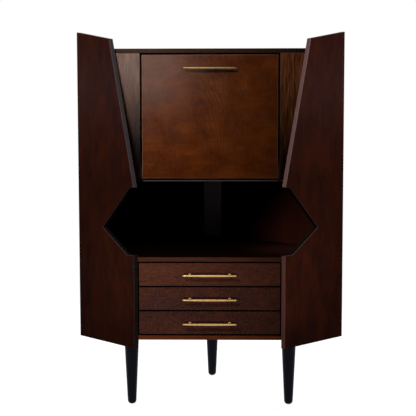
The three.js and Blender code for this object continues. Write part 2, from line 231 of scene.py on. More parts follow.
def raised(tree, height, strength, distance):
    """The normals of a surface with fine relief."""
    sockets = {"Height": height, "Strength": strength, "Distance": distance}
    return add_node(tree, "ShaderNodeBump", sockets).outputs["Normal"]


def new_material(name):
    """A material, its node tree, its shader's sockets and the Object coordinates."""
    material = bpy.data.materials.new(name)
    material.use_nodes = True
    tree = material.node_tree
    place = tree.nodes.new("ShaderNodeTexCoord").outputs["Object"]
    return material, tree, tree.nodes["Principled BSDF"].inputs, place


def effect(name, inputs, outputs):
    """A shader node group: the group, the sockets that it is given and those that it fills."""
    group = bpy.data.node_groups.new(name, "ShaderNodeTree")
    for direction, sockets in (("INPUT", inputs), ("OUTPUT", outputs)):
        for label, kind in sockets.items():
            group.interface.new_socket(label, in_out=direction, socket_type=kind)
    given = group.nodes.new("NodeGroupInput")
    return group, given.outputs, group.nodes.new("NodeGroupOutput").inputs


# Stained veneer: broad clouds where the stain took unevenly, fibres along the grain, and
# open pores. Fibres and pores are drawn out along the grain by the material's own mapping.
VECTOR = "NodeSocketVector"
COLOUR = "NodeSocketColor"
NUMBER = "NodeSocketFloat"
veneer_figure, given, result = effect(
    "veneer_figure",
    {
        "Vector": VECTOR,
        "Grain Vector": VECTOR,
        "Ground": COLOUR,
        "Fibre": COLOUR,
        "Cloud": COLOUR,
        "Fibre Amount": NUMBER,
        "Cloud Amount": NUMBER,
        "Pore Amount": NUMBER,
        "Cloud Scale": NUMBER,
        "Fibre Scale": NUMBER,
    },
    {"Color": COLOUR, "Height": NUMBER, "Patch": NUMBER},
)
tree = veneer_figure
PORE_COLOUR = (0.004, 0.002, 0.0015, 1)
clouds = noise(tree, given["Vector"], given["Cloud Scale"], 4, 0.55, 0.6)
fibres = noise(tree, given["Grain Vector"], given["Fibre Scale"], 7, 0.62, 0.25)
pores = noise(tree, given["Grain Vector"], product(tree, given["Fibre Scale"], 3.4), 2)
cloud_share = product(tree, span(tree, clouds, 0.36, 0.66), given["Cloud Amount"])
fibre_share = product(tree, span(tree, fibres, 0.38, 0.66), given["Fibre Amount"])
pore_share = product(tree, span(tree, pores, 0.58, 0.7), given["Pore Amount"])
clouded = blend_colours(tree, cloud_share, given["Ground"], given["Cloud"])
fibrous = blend_colours(tree, fibre_share, clouded, given["Fibre"])
raised_fibres = product(tree, fibres, 0.35)
sunk_pores = product(tree, pore_share, 0.9)
wire(
    tree,
    (blend_colours(tree, pore_share, fibrous, PORE_COLOUR), result["Color"]),
    (math_node(tree, "SUBTRACT", raised_fibres, sunk_pores), result["Height"]),
    (clouds, result["Patch"]),
)

# Sunk patches: where the stain sank in, drawn out along one axis by the material.
sunk_patches, given, result = effect(
    "blotches",
    {"Vector": VECTOR, "Color": COLOUR, "Blotch Color": COLOUR, "Amount": NUMBER, "Scale": NUMBER},
    {"Color": COLOUR},
)
tree = sunk_patches
sunk = span(tree, noise(tree, given["Vector"], given["Scale"], 5, 0.6, 0.15), 0.42, 0.72)
sunk_share = product(tree, sunk, given["Amount"])
blotched = blend_colours(tree, sunk_share, given["Color"], given["Blotch Color"])
wire(tree, (blotched, result["Color"]))

# Cathedral: the arched lines of flat-cut veneer, round a centre that the mapping sets, which
# fade in and out.
cathedral, given, result = effect(
    "cathedral",
    {
        "Vector": VECTOR,
        "Color": COLOUR,
        "Line Color": COLOUR,
        "Amount": NUMBER,
        "Rings Per Metre": NUMBER,
    },
    {"Color": COLOUR},
)
tree = cathedral
waver = product(tree, noise(tree, given["Vector"], 9, 3), 0.05)
bent = math_node(tree, "ADD", length(tree, given["Vector"]), waver)
turns = product(tree, given["Rings Per Metre"], 2 * math.pi)
ring = math_node(tree, "SINE", product(tree, bent, turns))
fade = span(tree, noise(tree, given["Vector"], 5, 2), 0.45, 0.62)
line_share = product(tree, span(tree, ring, -0.2, 1), given["Amount"])
line_share = product(tree, line_share, fade)
lined = blend_colours(tree, line_share, given["Color"], given["Line Color"])
wire(tree, (lined, result["Color"]))

# Worn and highlit edge: where an arris was sanded through, its stain is thinner, in uneven
# stretches, and the lighter worn tone is also a painted highlight along the rounded edges.
rubbed_edge, given, result = effect(
    "rubbed_edge",
    {"Vector": VECTOR, "Color": COLOUR, "Worn Color": COLOUR, "Amount": NUMBER},
    {"Color": COLOUR},
)
tree = rubbed_edge
EDGE_MARK_RADIUS = 0.003
softened = add_node(tree, "ShaderNodeBevel", {"Radius": EDGE_MARK_RADIUS}, samples=6)
surface = tree.nodes.new("ShaderNodeNewGeometry")
normals = {0: softened.outputs["Normal"], 1: surface.outputs["Normal"]}
alike = add_node(tree, "ShaderNodeVectorMath", normals, operation="DOT_PRODUCT")
edge_mask = span(tree, alike.outputs["Value"], 0.995, 0.93)
uneven = span(tree, noise(tree, given["Vector"], 38, 3, 0.6), 0.35, 0.6)
edge_share = product(tree, product(tree, edge_mask, uneven), given["Amount"])
worn_lit_colour = blend_colours(tree, edge_share, given["Color"], given["Worn Color"])
wire(tree, (worn_lit_colour, result["Color"]))


def veneer(
    name, ground, fibre, cloud, grain,
    fibre_amount=0.55, cloud_amount=0.6, pore_amount=0.35, cloud_scale=7.0, fibre_scale=150.0,
    drawn=16.0, cloud_drawn=2.2, blotches=(), arches=None, bump=0.12,
    roughness=0.36, gloss=0.08, tint=(1.0, 0.7, 0.55, 1), worn="8a5f4c", wear_and_highlight=0.35,
):
    """A stained and lacquered wood. grain is the axis that its fibres run along. blotches hold
    (colour, amount, scale, how much longer along X, Y and Z), and arches hold (colour, amount,
    lines a metre, the centre that they arch round)."""
    material, tree, shader, place = new_material(name)
    shader["Specular IOR Level"].default_value = gloss
    shader["Specular Tint"].default_value = tint
    cloud_place, fibre_place = [
        mapped(tree, place, [1 / draw if axis == grain else 1 for axis in "XYZ"])
        for draw in (cloud_drawn, drawn)
    ]
    sockets = {
        "Vector": cloud_place,
        "Grain Vector": fibre_place,
        "Ground": stain(ground),
        "Fibre": stain(fibre),
        "Cloud": stain(cloud),
        "Fibre Amount": fibre_amount,
        "Cloud Amount": cloud_amount,
        "Pore Amount": pore_amount,
        "Cloud Scale": cloud_scale,
        "Fibre Scale": fibre_scale,
    }
    figure = add_node(tree, "ShaderNodeGroup", sockets, node_tree=veneer_figure)
    colour = figure.outputs["Color"]
    for tone, amount, scale, longer in blotches:
        # moved by its own scale and amount, so that no two kinds of patch lie alike
        sockets = {
            "Vector": mapped(tree, place, [1 / draw for draw in longer], (scale, 0, amount)),
            "Color": colour,
            "Blotch Color": stain(tone),
            "Amount": amount,
            "Scale": scale,
        }
        patch = add_node(tree, "ShaderNodeGroup", sockets, node_tree=sunk_patches)
        colour = patch.outputs["Color"]
    if arches:
        tone, amount, lines, centre = arches
        sockets = {
            "Vector": mapped(tree, place, (1, 1, 3.5), centre, "TEXTURE"),
            "Color": colour,
            "Line Color": stain(tone),
            "Amount": amount,
            "Rings Per Metre": lines,
        }
        colour = add_node(tree, "ShaderNodeGroup", sockets, node_tree=cathedral).outputs["Color"]
    # the worn tone on the arrises is partly real wear and partly a painted highlight
    sockets = {"Vector": place, "Color": colour, "Worn Color": stain(worn), "Amount": wear_and_highlight}
    edge = add_node(tree, "ShaderNodeGroup", sockets, node_tree=rubbed_edge)
    patchy = span(tree, figure.outputs["Patch"], 0.3, 0.7, roughness - 0.04, roughness + 0.05)
    wire(
        tree,
        (edge.outputs["Color"], shader["Base Color"]),
        (patchy, shader["Roughness"]),
        (raised(tree, figure.outputs["Height"], bump, 0.0006), shader["Normal"]),
    )
    return material


def finish_in(piece, *materials):
    piece.data.materials.clear()
    for material in materials:
        piece.data.materials.append(material)


def dress(piece, body, slot, *nodes):
    """Hangs a finished piece on its body and hides the solids it stands for; slot is not used."""
    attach(piece, body)
    if nodes:
        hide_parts(*nodes)


WING_THICKNESS = 0.021
WING_LENGTH = 0.362
WING_LOW = 0.252
WING_TOP_FRONT = (0.147, 1.501)  # along the wing from its front edge, and height
WING_TOP_REAR = (0.362, 1.537)
NOTCH_LOW = (0.045, 0.632)
NOTCH_POINT = (0.199, 0.732)
NOTCH_HIGH = (0.024, 0.905)
NEAR = 0.003  # how far outside the notch its rounded edge may reach
UPPER, LOWER, ARRIS, NOTCH, NOTCH_ARRIS = range(1, 6)  # finish slots after the stain's own
# painted light and shade: the right lipping's pink and the left's grey are lit and shaded copies
# of one lipping, the left lower lipping is darkened as painted shade, and the lighter arris tones
# are a painted highlight line
lit_and_shaded_lipping_tones = {  # ground and fibre of the upper lipping, the lower one and their outer arris
    "left": (("373133", "252022"), ("140d0c", "0b0606"), ("423d3f", "312d2f")),
    "right": (("684a47", "4c3432"), ("5b3834", "412622"), ("5a5251", "443d3c")),
}
# the notch's cut faces are near-black as painted shade, and their arris is a lighter grey as a
# painted highlight
notch_painted_shade = veneer(
    "notch_lipping", "100c0b", "0a0706", "161110", "Z",
    gloss=0.006, roughness=0.5, wear_and_highlight=0.3, worn="5a5352",
)
notch_arris = veneer(
    "notch_arris", "403938", "2e2928", "4a4241", "Z",
    gloss=0.01, roughness=0.5, wear_and_highlight=0.2, worn="665d5b",
)
for side, sign in SIDES:
    outer_face = -sign * WING_THICKNESS
    top_corner = (WING_LENGTH, outer_face, WING_TOP_REAR[1])
    wing = block(side + "_wing_panel", (0, 0, WING_LOW), top_corner)
    saw_line(wing, (0, NOTCH_HIGH[1]), WING_TOP_FRONT, 1)
    saw_line(wing, WING_TOP_REAR, WING_TOP_FRONT, -1)
    opening = block(
        "opening", (-0.02, -0.05, NOTCH_LOW[1]), (NOTCH_POINT[0], 0.05, NOTCH_HIGH[1])
    )
    saw_line(opening, NOTCH_LOW, NOTCH_POINT, -1)
    saw_line(opening, NOTCH_HIGH, NOTCH_POINT, 1)
    cut_out(wing, opening)
    ease_edges(wing, 0.0022, 4)
    face_wood = veneer(
        side + "_wing_stain", "2c1208", "200c06", "2a1212", "Z",
        cloud_scale=6.5, cloud_amount=0.7,
        blotches=(
            ("2a1014", 0.45, 5.0, (1, 1, 2.5)),
            ("411a09", 0.65, 11.0, (1, 1, 2)),
            ("1c0b06", 0.45, 19.0, (1, 1, 2)),
            ("3e190c", 0.5, 34.0, (1, 1, 3)),
        ),
        gloss=0.004, tint=(0.5, 0.65, 1.0, 1), roughness=0.25, wear_and_highlight=0.1,
    )
    lippings = [
        veneer(
            side + "_wing_" + part + "_lipping", ground, fibre, ground, "Z",
            fibre_amount=0.4, pore_amount=0.2, gloss=0.04, roughness=0.42, wear_and_highlight=0.3, worn="8f8488",
        )
        for part, (ground, fibre) in zip(("upper", "lower", "arris"), lit_and_shaded_lipping_tones[side])
    ]
    finish_in(wing, face_wood, *lippings, notch_painted_shade, notch_arris)
    for face in wing.data.polygons:
        outward = -sign * face.normal.y
        along, height = face.center.x, face.center.z
        if abs(outward) > 0.95 or face.normal.x > 0.3:
            continue
        in_height = NOTCH_LOW[1] - NEAR < height < NOTCH_HIGH[1] + NEAR
        in_notch = along < NOTCH_POINT[0] + NEAR and in_height
        on_front = face.normal.x < -0.9 * math.hypot(face.normal.x, face.normal.z)
        if not (in_notch or on_front):
            continue
        if outward < 0.35:
            inner_rim = in_notch or outward < -0.35
            slot = NOTCH if inner_rim else LOWER if height < NOTCH_LOW[1] else UPPER
        else:
            slot = NOTCH_ARRIS if in_notch else ARRIS if height > NOTCH_HIGH[1] else LOWER
        face.material_index = slot
    stand_on_wall(wing, sign)
    dress(wing, "root", "wing_wood", side + "_wing")


# Back panels and corner post
# Thin ply panels lie against the two walls and are pinned to a stained post in the corner.
# Small brads hold them along each board and along the post.
POST_HALF = 0.0415
POST_FRONT_Y = DRAWER_FACE_Y + 0.75046
POST_BACK_Y = DRAWER_FACE_Y + 0.76646
CASE_LOW = 0.286
CASE_HIGH = 1.463
PANEL_THICKNESS = 0.006
PANEL_END = 0.72794  # along the wall, from the wing's inner face
ROOM_SUM = 0.79154 + DRAWER_FACE_Y  # x + y where boards and post end at a back panel
BOARD_MIDDLES = (0.295, 0.615, 0.930, 1.454)  # heights that the panels are nailed at
FIRST_BRAD = 0.03  # along the wall
BRAD_SPACING = 0.108
POST_BRAD_IN = 0.012  # from a panel's end to the brads along the post
FIRST_POST_BRAD = CASE_LOW + 0.06
POST_BRAD_SPACING = 0.132


def turn(name, rings, sides=32):
    """A turned piece along Z: a disc drawn out ring by ring. rings holds (radius, height)."""
    bpy.ops.object.select_all(action="DESELECT")
    radius, height = rings[0]
    bpy.ops.mesh.primitive_circle_add(
        vertices=sides, radius=radius, fill_type="NGON", location=(0, 0, height)
    )
    piece = name_as(bpy.context.object, name)
    bpy.ops.object.transform_apply(location=True, rotation=True, scale=True)
    bpy.ops.object.mode_set(mode="EDIT")
    bpy.ops.mesh.select_all(action="SELECT")
    for next_radius, next_height in rings[1:]:
        rise = (0, 0, next_height - height)
        bpy.ops.mesh.extrude_region_move(TRANSFORM_OT_translate={"value": rise})
        share = next_radius / radius
        bpy.ops.transform.resize(value=(share, share, 1), center_override=(0, 0, next_height))
        radius, height = next_radius, next_height
    bpy.ops.mesh.select_all(action="SELECT")
    bpy.ops.mesh.normals_make_consistent(inside=False)
    bpy.ops.object.mode_set(mode="OBJECT")
    bpy.ops.object.shade_smooth_by_angle(angle=math.radians(40))
    return piece


def join_as(name, *parts):
    bpy.ops.object.select_all(action="DESELECT")
    for part in parts:
        part.select_set(True)
    bpy.context.view_layer.objects.active = parts[0]
    bpy.ops.object.join()
    return name_as(parts[0], name)


def copy_of(model):
    select_only(model)
    bpy.ops.object.duplicate(linked=False)
    return bpy.context.object


def repeat(model, name, places):
    """Copies of a finished piece, one at each (location, rotation), joined."""
    return join_as(name, *[settle(copy_of(model), *place) for place in places])


def metal(name, colour, patch_colour, roughness):
    """A metal with a faintly uneven tone and fine polishing lines."""
    material, tree, shader, place = new_material(name)
    shader["Metallic"].default_value = 1
    patches = span(tree, noise(tree, place, 60, 4, 0.6), 0.35, 0.7)
    lines = noise(tree, place, 700, 2, 0.6)
    wire(
        tree,
        (blend_colours(tree, patches, stain(colour), stain(patch_colour)), shader["Base Color"]),
        (span(tree, lines, 0.3, 0.7, roughness - 0.06, roughness + 0.06), shader["Roughness"]),
        (raised(tree, lines, 0.05, 0.0002), shader["Normal"]),
    )
    return material


zinc_steel = metal("zinc_steel", "8b8d90", "6c6e72", 0.4)
# the back panels' near-black stain is painted shade for the dark niche
back_panel_painted_shade = veneer(
    "back_stain", "180703", "0c0302", "220b05", "Z",
    gloss=0.0, roughness=0.6, worn="1c1210", wear_and_highlight=0.2, pore_amount=0.3,
)
post_stain = veneer(
    "post_stain", "252223", "171414", "2b2727", "Z",
    gloss=0.015, roughness=0.45, worn="2c2626", wear_and_highlight=0.3,
)
post = block(
    "corner_upright", (-POST_HALF, POST_FRONT_Y, CASE_LOW), (POST_HALF, POST_BACK_Y, CASE_HIGH)
)
for sign in (-1, 1):
    saw(post, (0, ROOM_SUM, 0), (sign, 1, 0))
ease_edges(post, 0.0015)
finish_in(post, post_stain)
dress(post, "root", "back_wood", "corner_post")
brad = turn("brad", [(0.0016, -0.0002), (0.0016, 0.0002), (0.0009, 0.0004)], 10)
brad_turn = (0, math.pi / 2, 0)
for side, sign in SIDES:
    panel = block(
        side + "_wall_panel",
        (WING_LENGTH - PANEL_THICKNESS, sign * 0.0003, CASE_LOW),
        (WING_LENGTH, sign * PANEL_END, CASE_HIGH),
    )
    ease_edges(panel, 0.0006, 2)
    finish_in(panel, back_panel_painted_shade)
    stand_on_wall(panel, sign)
    dress(panel, "root", "back_wood", side + "_back_panel")
    nails = []
    for height in BOARD_MIDDLES:
        nails += [(FIRST_BRAD + BRAD_SPACING * step, height) for step in range(7)]
    for step in range(9):
        nails.append((PANEL_END - POST_BRAD_IN, FIRST_POST_BRAD + POST_BRAD_SPACING * step))
    places = [((WING_LENGTH, sign * along, height), brad_turn) for along, height in nails]
    brads = repeat(brad, side + "_panel_brads", places)
    stand_on_wall(brads, sign)
    finish_in(brads, zinc_steel)
    dress(brads, "root", "steel")
bpy.data.objects.remove(brad)


# Boards of the case
# Four veneered boards, sawn to the plan of the corner, with a lipped front edge. The counter board
# has a near-black laminate on top, whose darkness is painted shade in the niche. They are doweled
# to the wings and to the post.
BOARD_THICKNESS = 0.018
FRONT_DIFFERENCE = 0.28808 - DRAWER_FACE_Y  # x - y where a board ends at a wing
BOARD_REACH_X = 0.5398
BOARD_BACK_Y = DRAWER_FACE_Y + 0.75016


def board_edge(name, ground, fibre, cloud, gloss=0.004, roughness=0.36):
    return veneer(
        name, ground, fibre, cloud, "X",
        fibre_scale=190.0, gloss=gloss, roughness=roughness, worn="5a382c", wear_and_highlight=0.2,
    )


case_inside = veneer(
    "case_inside_stain", "1a0b07", "100604", "200d09", "X",
    gloss=0.01, roughness=0.5, wear_and_highlight=0.1, worn="3a2019",
)
bar_inside = veneer(
    "bar_inside_stain", "5a3220", "42210f", "653a26", "X", gloss=0.06, roughness=0.45, wear_and_highlight=0.2
)
# near-black, as painted shade for the counter under the bar
counter_sheet_painted_shade, tree, shader, place = new_material("counter_laminate")
shader["Specular IOR Level"].default_value = 0.002
shader["Specular Tint"].default_value = (1, 0.6, 0.5, 1)
pebble = noise(tree, place, 1800, 2)
mottled = blend_colours(tree, noise(tree, place, 14, 4), stain("130704"), stain("1a0905"))
wire(
    tree,
    (mottled, shader["Base Color"]),
    (span(tree, pebble, 0.3, 0.7, 0.48, 0.58), shader["Roughness"]),
    (raised(tree, pebble, 0.08, 0.0003), shader["Normal"]),
)
lowest_edge = board_edge("lowest_edge_stain", "4a2210", "2d1308", "532812")
counter_edge = board_edge("counter_edge_stain", "4d291c", "351b12", "562f21")
# the bar floor's recessed edge is lighter and greyer than the other board edges, as painted light
# under the flap
strip_edge_painted_light = board_edge("bar_floor_edge_stain", "493a38", "352928", "52423f")
top_edge = board_edge("top_edge_stain", "26130b", "180b05", "2e180e", 0.0012, 0.2)
top_face = board_edge("top_face_stain", "2e160d", "1f0e08", "381c12", 0.0, 0.5)
# name, node, front edge behind the drawer fronts, underside, finish in front, above, below
boards = (
    ("lowest_board", "bottom_board", 0.0, 0.286, lowest_edge, case_inside, case_inside),
    ("counter_top", "counter_board", 0.0, 0.606, counter_edge, counter_sheet_painted_shade, case_inside),
    ("bar_floor", "bar_floor_board", 0.1363, 0.921, strip_edge_painted_light, bar_inside, case_inside),
    ("cabinet_top", "top_board", 0.118, 1.445, top_edge, top_face, bar_inside),
)
for name, node, setback, underside, edge, above, below in boards:
    board = block(
        name,
        (-BOARD_REACH_X, DRAWER_FACE_Y + setback, underside),
        (BOARD_REACH_X, BOARD_BACK_Y, underside + BOARD_THICKNESS),
    )
    for sign in (-1, 1):
        saw(board, (sign * FRONT_DIFFERENCE, 0, 0), (sign, -1, 0))
        saw(board, (0, ROOM_SUM, 0), (sign, 1, 0))
    ease_edges(board, 0.0012)
    finish_in(board, edge, above, below)
    for face in board.data.polygons:
        face.material_index = 1 if face.normal.z > 0.9 else 2 if face.normal.z < -0.9 else 0
    dress(board, "root", "case_wood", node)


# Fillers and jambs
# A fixed filler stands on each side of the flap, veneered with the grain upright, and a jamb
# behind it, bored for the swivel eye, carries the flap's stay. The bar's shelf rests inside.
BAR_FACE_Y = DRAWER_FACE_Y + 0.118
BAR_INNER_Y = DRAWER_FACE_Y + 0.136
OPENING_HALF = 0.2855
FILLER_REACH_X = 0.43
FLAP_LOW = 0.934
TOP_UNDERSIDE = 1.445
BAR_FLOOR_TOP = 0.939
JAMB_THICKNESS = 0.018
EYE_Y = DRAWER_FACE_Y + 0.195774
EYE_Z = 1.119034
JAMB_BACK_Y = EYE_Y + 0.022
EYE_BORE_RADIUS = 0.0043
FIT = 0.0003  # the gap of a glued joint
SHELF_REACH_X = 0.53154
SHELF_FRONT_Y = DRAWER_FACE_Y + 0.26
SHELF_LOW = 1.189
SHELF_HIGH = 1.204


def front_first(piece):
    """The first finish in front, the second on the other faces."""
    for face in piece.data.polygons:
        face.material_index = 0 if face.normal.y < -0.5 else 1


filler_wood = veneer(
    "filler_stain", "4f250d", "190a02", "5a2e12", "Z",
    fibre_amount=0.95, pore_amount=0.6, fibre_scale=150.0, drawn=12.0,
    blotches=(("7a4f34", 0.6, 140.0, (1, 1, 12)), ("140802", 0.45, 45.0, (1, 1, 6))),
    gloss=0.0042, tint=(1.0, 0.93, 0.87, 1), roughness=0.16, bump=0.2, wear_and_highlight=0.4, worn="7c6052",
)
# the filler's rounded arris is greyer and lighter than its face, as a painted highlight line
filler_arris = veneer(
    "filler_arris", "4f3f39", "3a2d28", "584740", "Z",
    gloss=0.015, roughness=0.3, wear_and_highlight=0.2, worn="8f7c73",
)
for side, sign in SIDES:
    filler = block(
        side + "_filler_board",
        (sign * OPENING_HALF, BAR_FACE_Y, FLAP_LOW),
        (sign * FILLER_REACH_X, BAR_INNER_Y, TOP_UNDERSIDE - FIT),
    )
    saw(filler, (sign * FRONT_DIFFERENCE, 0, 0), (sign, -1, 0))
    finish_in(filler, filler_wood, case_inside, filler_arris)
    front_first(filler)
    ease_edges(filler, 0.0014, 3, arris=2)
    dress(filler, "root", "filler_wood", side + "_filler")
    jamb = block(
        side + "_jamb_board",
        (sign * OPENING_HALF, BAR_INNER_Y + FIT, BAR_FLOOR_TOP + FIT),
        (sign * (OPENING_HALF + JAMB_THICKNESS), JAMB_BACK_Y, TOP_UNDERSIDE - FIT),
    )
    bore = turn("bore", [(EYE_BORE_RADIUS, -0.001), (EYE_BORE_RADIUS, 0.0123)], 24)
    cut_out(jamb, settle(bore, (sign * OPENING_HALF, EYE_Y, EYE_Z), (0, sign * math.pi / 2, 0)))
    ease_edges(jamb, 0.0015)
    finish_in(jamb, bar_inside)
    dress(jamb, "root", "case_wood", side + "_jamb")

shelf = block(
    "shelf_board",
    (-SHELF_REACH_X, SHELF_FRONT_Y, SHELF_LOW),
    (SHELF_REACH_X, BOARD_BACK_Y, SHELF_HIGH),
)
for sign in (-1, 1):
    saw(shelf, (0, ROOM_SUM, 0), (sign, 1, 0))
ease_edges(shelf, 0.0025, 4)
finish_in(shelf, bar_inside)
dress(shelf, "root", "case_wood", "bar_shelf")


# Flap
# A veneered panel with rounded lipping, hung on pivots at its foot. Its stain is clouded, and
# the arches of flat-cut veneer show faintly in its middle.
FLAP_HALF = 0.2785
FLAP_HIGH = 1.438
flap_face = veneer(
    "flap_stain", "3c1605", "2c0f03", "502106", "Z",
    cloud_scale=13.0, cloud_amount=0.5, cloud_drawn=1.2,
    fibre_amount=0.45, fibre_scale=110.0, drawn=5.0,
    blotches=(
        ("2a1205", 0.22, 4.3, (1.5, 1, 1)),
        ("642e06", 0.45, 17.0, (1.6, 1, 1)),
        ("251106", 0.45, 75.0, (4, 1, 1)),
        ("56280b", 0.3, 120.0, (1, 1, 2)),
    ),
    arches=("261004", 0.45, 190.0, (-0.06, 0, 0.98)),
    gloss=0.0034, tint=(1.0, 0.88, 0.79, 1), roughness=0.16, wear_and_highlight=0.2, worn="7a5a50",
)
# the flap's rounded arris has a lighter tone than its face, as a painted highlight line
flap_arris = veneer(
    "flap_arris", "4f372b", "3b261c", "5a4134", "Z",
    gloss=0.045, roughness=0.3, wear_and_highlight=0.2, worn="7a6256",
)
flap = block(
    "flap_board", (-FLAP_HALF, BAR_FACE_Y, FLAP_LOW), (FLAP_HALF, BAR_INNER_Y, FLAP_HIGH)
)
finish_in(flap, flap_face, bar_inside, flap_arris, case_inside)
for face in flap.data.polygons:
    face.material_index = 1 if face.normal.y > 0.9 else 3 if abs(face.normal.y) < 0.5 else 0
ease_edges(flap, 0.002, 4, arris=2)
dress(flap, "flap", "flap_wood", "flap_panel")


# Handles
# A slim brass bar, turned to thin towards its ends, sits on two round posts with a foot. They
# are screwed from behind, one to the flap and one to each drawer front.
HANDLE_HALF = 0.108
POST_SPACING = 0.160
STANDOFF = 0.028
BAR_RADIUS = 0.005
BAR_END_RADIUS = 0.0032
BAR_STATIONS = 18
END_ROUNDING = 0.0012
FLAP_HANDLE_Z = 1.383
HANDLE_DROP = 0.0015  # below the middle of a drawer front
DRAWERS = (("drawer_1", 0.553667), ("drawer_2", 0.455), ("drawer_3", 0.356333))  # and middles
handle_brass = metal("handle_brass", "c9a76f", "ad8a55", 0.28)
# the flap's handle is the same brass made darker, as painted shade
flap_brass_painted_shade = metal("flap_handle_brass", "6e5a38", "5c4929", 0.32)
bar_rings = [(BAR_END_RADIUS - END_ROUNDING, -HANDLE_HALF)]
bar_rings += [(BAR_END_RADIUS - END_ROUNDING * 0.3, -HANDLE_HALF + END_ROUNDING * 0.3)]
for index in range(BAR_STATIONS + 1):
    along = (HANDLE_HALF - END_ROUNDING) * (2 * index / BAR_STATIONS - 1)
    share = 1 - (along / HANDLE_HALF) ** 2
    bar_rings.append((BAR_END_RADIUS + (BAR_RADIUS - BAR_END_RADIUS) * share, along))
bar_rings += [(radius, -along) for radius, along in reversed(bar_rings[:2])]
post_rings = [(0.0056, 0.0003), (0.0056, 0.0016), (0.0049, 0.0024), (0.0036, 0.0032)]
post_rings += [(0.0034, 0.012), (0.0034, 0.022), (0.0037, STANDOFF - 0.001)]
handle_places = [("flap", BAR_FACE_Y, FLAP_HANDLE_Z, flap_brass_painted_shade)]
for drawer, middle in DRAWERS:
    handle_places.append((drawer, DRAWER_FACE_Y, middle - HANDLE_DROP, handle_brass))
for body, face_y, height, brass in handle_places:
    bar = settle(turn("bar", bar_rings), (0, face_y - STANDOFF, height), (0, math.pi / 2, 0))
    posts = [
        settle(turn("post", post_rings), (x, face_y, height), (math.pi / 2, 0, 0))
        for x in (-POST_SPACING / 2, POST_SPACING / 2)
    ]
    handle = join_as(body + "_pull", bar, *posts)
    finish_in(handle, brass)
    dress(handle, body, "brass", body + "_handle")


# Drawer fronts
# Three equal veneered fronts with eased edges and a narrow gap between them, the grain across.
# Each is screwed to its drawer's box from inside.
DRAWER_HALF = 0.285
DRAWER_HEIGHT = 0.092667
FRONT_THICKNESS = 0.018
# the top front is stained lighter than the two below it, as painted light and shade
drawer_tones_painted_shade = (
    ("3f2117", "2c150e", "48281c"),
    ("2b1814", "1e100d", "331c18"),
    ("261610", "1c0e0b", "2d1914"),
)
for (drawer, middle), tones in zip(DRAWERS, drawer_tones_painted_shade):
    front_face = veneer(
        drawer + "_stain", *tones, "X",
        cloud_scale=10.0, cloud_amount=0.7, fibre_amount=0.45,
        blotches=(
            ("24131a", 0.4, 8.0, (1.5, 1, 1)),
            ("4e2614", 0.4, 15.0, (1.5, 1, 1)),
            ("221010", 0.4, 38.0, (1.5, 1, 1)),
            ("1c0d0a", 0.55, 90.0, (3, 1, 1)),
            ("583020", 0.4, 130.0, (1, 1, 1)),
        ),
        gloss=0.002, roughness=0.3, wear_and_highlight=0.1, worn="5a3f38",
    )
    front = block(
        drawer + "_face",
        (-DRAWER_HALF, DRAWER_FACE_Y, middle - DRAWER_HEIGHT / 2),
        (DRAWER_HALF, DRAWER_FACE_Y + FRONT_THICKNESS, middle + DRAWER_HEIGHT / 2),
    )
    finish_in(front, front_face, case_inside)
    front_first(front)
    ease_edges(front, 0.0012, 3, arris=0)
    dress(front, drawer, "case_wood", drawer + "_front")


# Drawer boxes, runners and partitions
# Pale hardwood sides with grooves, a back and a thin bottom, on waxed runners that are
# screwed to two partitions.
SIDE_INNER = 0.2545
SIDE_OUTER = 0.2665
BACK_HALF = 0.2542
BACK_THICKNESS = 0.012
BOX_FRONT = DRAWER_FACE_Y + 0.0183
BOX_BACK = DRAWER_FACE_Y + 0.418
SIDE_RISE = 0.037333  # half a side's height
RUNNER_FRONT = DRAWER_FACE_Y + 0.019
RUNNER_BACK = DRAWER_FACE_Y + 0.399
RUNNER_RISE = 0.007  # half a runner's height
GROOVE_RISE = 0.0073  # half the height of the groove that it slides in
RUNNER_X = (0.2612, 0.2712)
RUNNER_GROOVE_X = (0.2605, 0.27)
BOTTOM_LOW = 0.029637  # the bottom's groove, below the middle of the drawer
BOTTOM_HIGH = 0.024037
BOTTOM_GROOVE_X = (0.25, 0.2595)
GROOVE_OVERRUN = 0.01
PARTITION_X = (0.2715, 0.2875)
PARTITION_BACK = DRAWER_FACE_Y + 0.520031
PARTITION_LOW = 0.3043
PARTITION_HIGH = 0.6057
drawer_wood = veneer(
    "drawer_beech", "a98254", "8f6a40", "b8905f", "Y",
    gloss=0.3, roughness=0.55, worn="c9a67a", tint=(1, 1, 1, 1), pore_amount=0.15,
)
half_turn = (0, 0, math.pi)
